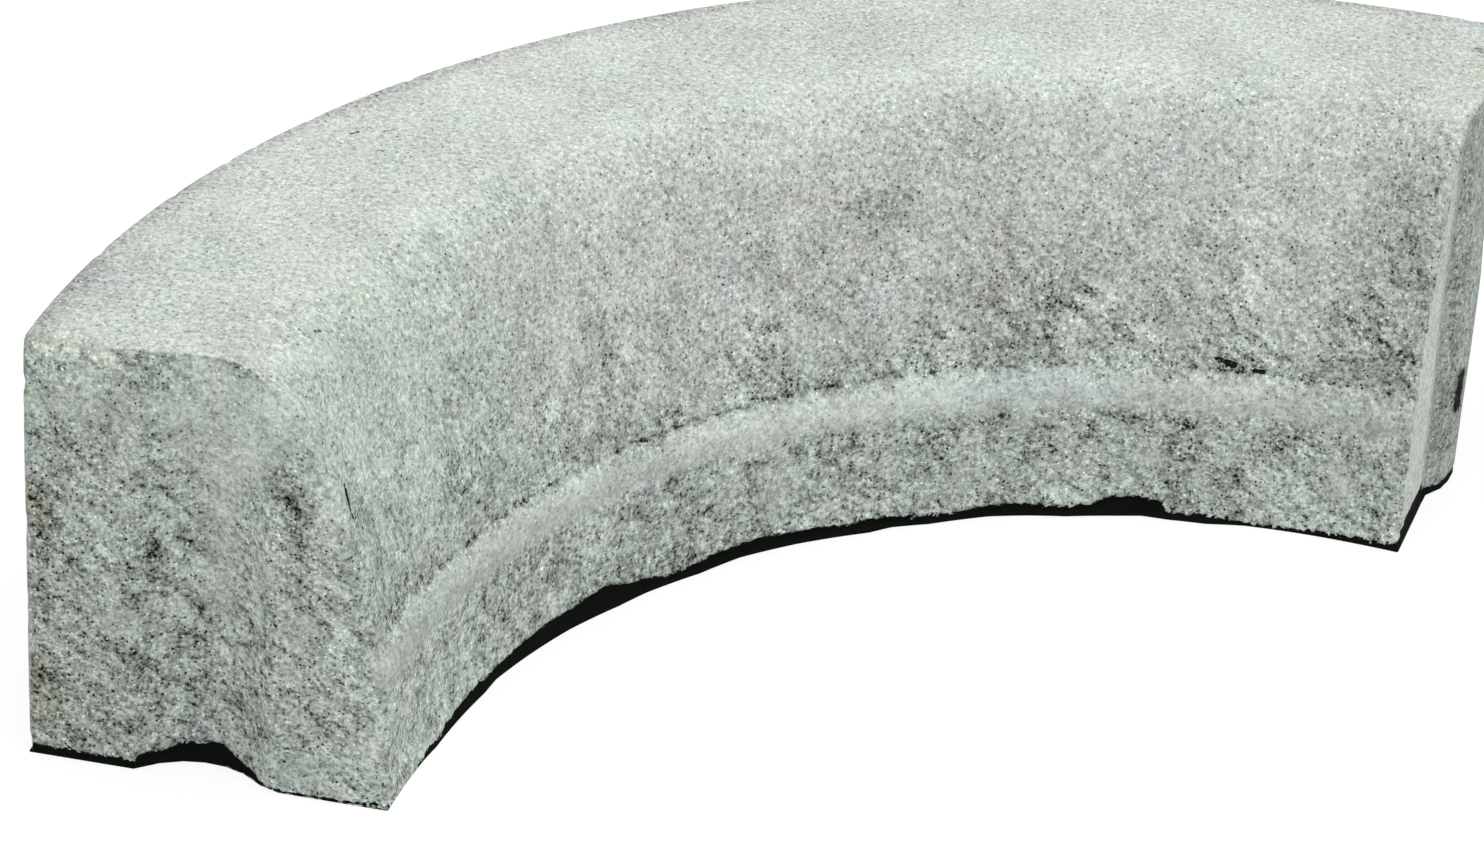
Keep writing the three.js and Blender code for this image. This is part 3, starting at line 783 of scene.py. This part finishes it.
class Tree:
    """Short ways to add nodes. A value is a number, a tuple or another node's output."""

    def __init__(self, tree):
        self.tree = tree
        tree.nodes.clear()

    def add(self, kind, inputs=None, **settings):
        """A node, with its settings and with its inputs by name or number."""
        node = self.tree.nodes.new(kind)
        for name, value in settings.items():
            setattr(node, name, value)
        for name, value in (inputs or {}).items():
            self.put(node.inputs[name], value)
        return node

    def put(self, socket, value):
        if isinstance(value, bpy.types.NodeSocket):
            self.tree.links.new(value, socket)
        else:
            socket.default_value = value

    def math(self, operation, *values):
        node = self.add("ShaderNodeMath", operation=operation)
        for socket, value in zip(node.inputs, values):
            self.put(socket, value)
        return node.outputs[0]

    def times(self, *values):
        out = values[0]
        for value in values[1:]:
            out = self.math("MULTIPLY", out, value)
        return out

    def vector(self, operation, inputs, output="Vector"):
        return self.add("ShaderNodeVectorMath", inputs, operation=operation).outputs[output]

    def ramp(self, value, low, high, to_low=0.0, to_high=1.0):
        """From `to_low` at `low` to `to_high` at `high`, in an even curve."""
        node = self.add("ShaderNodeMapRange", interpolation_type="SMOOTHSTEP")
        for socket, v in zip(node.inputs, (value, low, high, to_low, to_high)):
            self.put(socket, v)
        return node.outputs[0]

    def mix(self, factor, a, b):
        """Colour a where the factor is 0, and b where it is 1."""
        node = self.add("ShaderNodeMix", data_type="RGBA")
        self.put(node.inputs["Factor"], factor)
        colours = [socket for socket in node.inputs if socket.type == "RGBA"]
        self.put(colours[0], a)
        self.put(colours[1], b)
        return [socket for socket in node.outputs if socket.type == "RGBA"][0]

    def attribute(self, name):
        return self.add("ShaderNodeAttribute", attribute_name=name).outputs["Fac"]

    def noise(self, coords, size, detail=2.0, roughness=0.5):
        """Noise about 0 with features of `size` mm. Its usual spread is about 0.1."""
        node = self.add("ShaderNodeTexNoise", {
            "Vector": coords, "Scale": 1 / (size * MM), "Detail": detail, "Roughness": roughness,
        })
        return self.math("SUBTRACT", node.outputs["Fac"], 0.5)

    def specks(self, coords, spacing, radius, share):
        """Round spots, `spacing` mm apart before only a share of them is kept."""
        inputs = {"Vector": coords, "Scale": 1 / (spacing * MM)}
        node = self.add("ShaderNodeTexVoronoi", inputs)
        size = radius / spacing
        disc = self.ramp(node.outputs["Distance"], size * 0.6, size * 1.15, 1.0, 0.0)
        pick = self.add("ShaderNodeSeparateColor", {"Color": node.outputs["Color"]}).outputs[0]
        kept = self.math("LESS_THAN", pick, share)
        return self.math("MULTIPLY", disc, kept)


SMOOTH_COLOUR = (0.535, 0.580, 0.530, 1)     # the pale top
ROUGH_COLOUR = (0.482, 0.545, 0.484, 1)      # ends and foot
NEUTRAL = (0.525, 0.540, 0.515, 1)           # patches with less green
BLUISH = (0.495, 0.550, 0.540, 1)
COOL = (0.500, 0.555, 0.545, 1)
MINT = (0.472, 0.562, 0.492, 1)
BROWN = (0.500, 0.525, 0.430, 1)
CONTACT_SHADOW_BLACK = (0.004, 0.005, 0.004, 1)             # painted contact shadow along the ground

BRIGHTNESS = 1.013       # before the noise, as a factor on the colours
DARKEST = 0.02           # the least that the factor gets
# Noise that makes the concrete paler and darker: size of its features in mm,
# detail, roughness, strength, the attribute that scales it, and whether it is
# drawn out into slanting streaks.
LAYERS = [
    (55, 3, 0.5, 0.50, "everywhere", False),     # broad patches
    (18, 2, 0.5, 0.70, "coarse", False),         # clumps
    (8, 3, 0.5, 0.75, "coarse", False),
    (4.5, 3, 0.5, 1.50, "coarse", True),
    (2.5, 2, 0.7, 1.92, "fine", False),          # grains
    (1.3, 1, 0.7, 0.98, "fine", False),
]
STREAK_TURN = math.radians(-50)
STREAK_LENGTH = 4.0      # in widths of a streak
# Round specks: spacing and radius in mm, share that is kept, strength.
DARK_SPECKS = (2.1, 0.60, 0.36, -0.60)
PALE_SPECKS = (2.2, 0.58, 0.34, 0.62)
PATTERN_SHIFT = (1.7, 0.9, 2.3)      # m, to another place in the same noise
# The shade of the crease: mm from it at which the shade starts and ends to fade, and
# its strength. It is wide where it isn't broken, and has a fine line all along.
CREASE_WIDE = (0.5, 3.4, 0.26)
CREASE_FINE = (0.1, 1.2, 0.22)
CREASE_BREAKS = (-0.10, 0.08)        # noise at which it is broken, and at which it is whole
CREASE_WANDER = 3.5      # mm for each unit of noise
# Patches of another tint: noise from and to, strength from and to.
NEUTRAL_PATCHES = (0.0, 0.16, 0.0, 0.50)
BLUISH_PATCHES = (0.02, 0.16, 0.0, 0.38)
LIP_WANDER = 7.0         # mm for each unit of noise
LIP_BLUR = (-0.2, 0.6)   # mm below the lip at which the black starts and is full
# The bump: grain with pits (spacing, radius and share, as for the specks) in it.
GRAIN_SIZE = 2.4
GRAIN_HEIGHT = 0.6
PITS = (7.0, 1.1, 0.35)
PIT_DEPTH = 0.5          # in heights of the grain
ROUGHNESS = 0.9
ROUGHNESS_SPREAD = 0.3
SPECULAR = 0.08          # low, because the surface is dry and porous


def stroke(t, coords, a, b, half_width):
    """1 on the line from a to b (in mm), 0 from a little over `half_width` away."""
    start = Vector(a) * MM
    along = Vector(b) * MM - start
    length = along.length
    direction = tuple(along / length)
    off = t.vector("SUBTRACT", {0: coords, 1: tuple(start)})
    dot = t.vector("DOT_PRODUCT", {0: off, 1: direction}, "Value")
    reach = t.math("MINIMUM", t.math("MAXIMUM", dot, 0.0), length)
    foot = t.vector("SCALE", {0: direction, "Scale": reach})
    gap = t.vector("DISTANCE", {0: off, 1: foot}, "Value")
    return t.ramp(gap, half_width * 0.6 * MM, half_width * 1.3 * MM, 1.0, 0.0)


def brightness(t, coords, shifted):
    """A factor on the colour, from noise, specks, the crease, the shade and the strokes."""
    scales = {"everywhere": 1.0, "coarse": t.attribute("coarse"), "fine": t.attribute("fine")}
    slanting = t.add("ShaderNodeMapping", {
        "Vector": coords, "Rotation": (0, STREAK_TURN, 0), "Scale": (1, 1, STREAK_LENGTH),
    }, vector_type="TEXTURE").outputs[0]
    tone = BRIGHTNESS
    for size, detail, roughness, strength, scale, streaks in LAYERS:
        layer = t.noise(slanting if streaks else coords, size, detail, roughness)
        tone = t.math("ADD", tone, t.times(layer, strength, scales[scale]))
    for place, (spacing, radius, share, strength) in [(coords, DARK_SPECKS), (shifted, PALE_SPECKS)]:
        specks = t.specks(place, spacing, radius, share)
        tone = t.math("ADD", tone, t.times(specks, strength, scales["fine"]))

    crease = t.math("ADD", t.attribute("crease"), t.times(t.noise(coords, 6), CREASE_WANDER))
    unbroken = t.ramp(t.noise(coords, 9), *CREASE_BREAKS)
    tone = t.math("SUBTRACT", tone, t.times(t.ramp(crease, *CREASE_WIDE, 0.0), unbroken))
    tone = t.math("SUBTRACT", tone, t.ramp(crease, *CREASE_FINE, 0.0))
    tone = t.math("SUBTRACT", tone, t.attribute("shade"))

    plain = t.add("ShaderNodeAttribute", attribute_name="plain").outputs["Vector"]
    edge_line = [(a, b, TOP_EDGE_HALF_WIDTH, TOP_EDGE_DARK)
                 for a, b in zip(TOP_EDGE_LINE, TOP_EDGE_LINE[1:])]
    for start, end, half_width, dark in STROKES + edge_line:
        mark = stroke(t, plain, on_bend(*start), on_bend(*end), half_width)
        tone = t.math("SUBTRACT", tone, t.times(mark, dark))
    return t.math("MAXIMUM", tone, DARKEST)


def tint(t, coords, shifted):
    """The colour before its brightness, with patches of other tints."""
    patches = t.ramp(t.noise(coords, 30), *NEUTRAL_PATCHES)
    colour = t.mix(t.attribute("rough"), SMOOTH_COLOUR, ROUGH_COLOUR)
    colour = t.mix(t.math("ADD", patches, t.attribute("neutral")), colour, NEUTRAL)
    colour = t.mix(t.ramp(t.noise(shifted, 38), *BLUISH_PATCHES), colour, BLUISH)
    for name, other in (("mint", MINT), ("cool", COOL), ("warm", BROWN)):
        colour = t.mix(t.attribute(name), colour, other)
    return colour


def concrete():
    """Bare concrete, with its grain and marks, painted shade and light, and the painted contact shadow
    along the ground, from the mesh's attributes.
    """
    material = bpy.data.materials.new("cast concrete")
    material.use_nodes = True
    t = Tree(material.node_tree)
    coords = t.add("ShaderNodeTexCoord").outputs["Object"]
    shifted = t.vector("ADD", {0: coords, 1: PATTERN_SHIFT})
    tone = brightness(t, coords, shifted)
    clean = t.vector("SCALE", {0: tint(t, coords, shifted), "Scale": tone})
    # painted contact shadow: black below the lip, along the ground
    lip = t.math("ADD", t.attribute("below_lip"), t.times(t.noise(coords, 2.2), LIP_WANDER))
    colour = t.mix(t.ramp(lip, *LIP_BLUR), clean, CONTACT_SHADOW_BLACK)

    pits = t.times(t.specks(coords, *PITS), -PIT_DEPTH)
    height = t.math("ADD", t.noise(coords, GRAIN_SIZE, 3, 0.6), pits)
    bump = t.add("ShaderNodeBump", {
        "Height": t.times(height, t.attribute("fine")),
        "Distance": GRAIN_HEIGHT * MM,
        "Strength": 1.0,
    })
    shader = t.add("ShaderNodeBsdfPrincipled", {
        "Base Color": colour,
        "Roughness": t.math("ADD", ROUGHNESS, t.times(t.noise(coords, 3), ROUGHNESS_SPREAD)),
        "Specular IOR Level": SPECULAR,
        "Normal": bump.outputs[0],
    })
    t.add("ShaderNodeOutputMaterial", {"Surface": shader.outputs[0]})
    return material


mesh.materials.append(concrete())


# ---- floor and light ---------------------------------------------------------

FLOOR_HALF = 30.0        # m
FLOOR_WHITE = 0.83       # glow of the floor as the camera sees it
FLOOR_SEEN = 0.19        # and the part of it that takes the shadow
FLOOR_GREY = 0.34        # what it throws back on the stone
SKY = 0.80               # strength of the light from all round


def seen_or_not(t):
    """1 where the camera, a reflection or glass looks straight at the surface."""
    path = t.add("ShaderNodeLightPath")
    seen = t.math("MAXIMUM", path.outputs["Is Camera Ray"], path.outputs["Is Glossy Ray"])
    return t.math("MAXIMUM", seen, path.outputs["Is Transmission Ray"])


def grey(value):
    return (value, value, value, 1)


def floor():
    """A plain floor that the camera sees white, with the stone's shadow."""
    material = bpy.data.materials.new("pale floor")
    material.use_nodes = True
    t = Tree(material.node_tree)
    unseen = t.add("ShaderNodeBsdfDiffuse", {"Color": grey(FLOOR_GREY)})
    seen = t.add("ShaderNodeBsdfDiffuse", {"Color": grey(FLOOR_SEEN)})
    glow = t.add("ShaderNodeEmission", {"Color": grey(1), "Strength": FLOOR_WHITE})
    pale = t.add("ShaderNodeAddShader", {0: seen.outputs[0], 1: glow.outputs[0]})
    mix = t.add("ShaderNodeMixShader", {0: seen_or_not(t), 1: unseen.outputs[0], 2: pale.outputs[0]})
    t.add("ShaderNodeOutputMaterial", {"Surface": mix.outputs[0]})
    half = FLOOR_HALF
    corners = [(-half, -half, 0), (half, -half, 0), (half, half, 0), (-half, half, 0)]
    floor_mesh = bpy.data.meshes.new("floor")
    floor_mesh.from_pydata(corners, [], [(0, 1, 2, 3)])
    floor_mesh.materials.append(material)
    plane = bpy.data.objects.new("floor", floor_mesh)
    bpy.context.scene.collection.objects.link(plane)


def sky():
    """Even light from all round, which the camera sees as white."""
    world = bpy.data.worlds.new("studio")
    bpy.context.scene.world = world
    world.use_nodes = True
    t = Tree(world.node_tree)
    light = t.add("ShaderNodeBackground", {"Color": grey(1), "Strength": SKY})
    white = t.add("ShaderNodeBackground", {"Color": grey(1), "Strength": 1.0})
    mix = t.add("ShaderNodeMixShader", {0: seen_or_not(t), 1: light.outputs[0], 2: white.outputs[0]})
    t.add("ShaderNodeOutputWorld", {"Surface": mix.outputs[0]})


def soft_lamp(name, location, aim, size, watts):
    """A round lamp that points at `aim`. Lengths are in metres."""
    data = bpy.data.lights.new(name, "AREA")
    data.shape = "DISK"
    data.size = size
    data.energy = watts
    lamp = bpy.data.objects.new(name, data)
    lamp.location = location
    lamp.rotation_euler = (Vector(aim) - Vector(location)).to_track_quat("-Z", "Y").to_euler()
    bpy.context.scene.collection.objects.link(lamp)


floor()
sky()
soft_lamp("key", location=(0.4, -0.6, 2.4), aim=(0, 0, 0.1), size=2.4, watts=30)

# ---- camera ------------------------------------------------------------------
# It was fitted to the photo with the middle of the bend at the origin, in heights
# of the stone, and with the grooved end at the angle LEFT_END.

EYE = Vector((-0.98712, -8.27885, 5.84677))
PITCH = 0.51627          # down, in radians
ROLL = 0.0618
LEFT_END = 2.96314
FOCAL_PIXELS = 5005.0    # focal length, in pixels of the photo
PHOTO_WIDTH = 1484
SENSOR = 36.0            # mm


def camera():
    """The photo's viewpoint, turned and scaled into the CAD frame."""
    turn = Matrix.Rotation(math.pi - LEFT_END, 3, "Z")
    forward = Vector((0, math.cos(PITCH), -math.sin(PITCH)))
    level = Vector((1, 0, 0))
    above = level.cross(forward)
    right = level * math.cos(ROLL) + above * math.sin(ROLL)
    up = above * math.cos(ROLL) - level * math.sin(ROLL)
    data = bpy.data.cameras.new("camera")
    data.sensor_fit = "HORIZONTAL"
    data.sensor_width = SENSOR
    data.lens = SENSOR * FOCAL_PIXELS / PHOTO_WIDTH
    data.clip_start = 0.05
    data.clip_end = 100
    axes = Matrix((turn @ right, turn @ up, -(turn @ forward))).transposed()
    spot = turn @ EYE * HEIGHT * MM + Vector((CENTRE[0] * MM, CENTRE[1] * MM, 0))
    thing = bpy.data.objects.new("camera", data)
    thing.matrix_world = Matrix.Translation(spot) @ axes.to_4x4()
    bpy.context.scene.collection.objects.link(thing)
    bpy.context.scene.camera = thing


camera()
bpy.context.scene.view_settings.view_transform = "Standard"
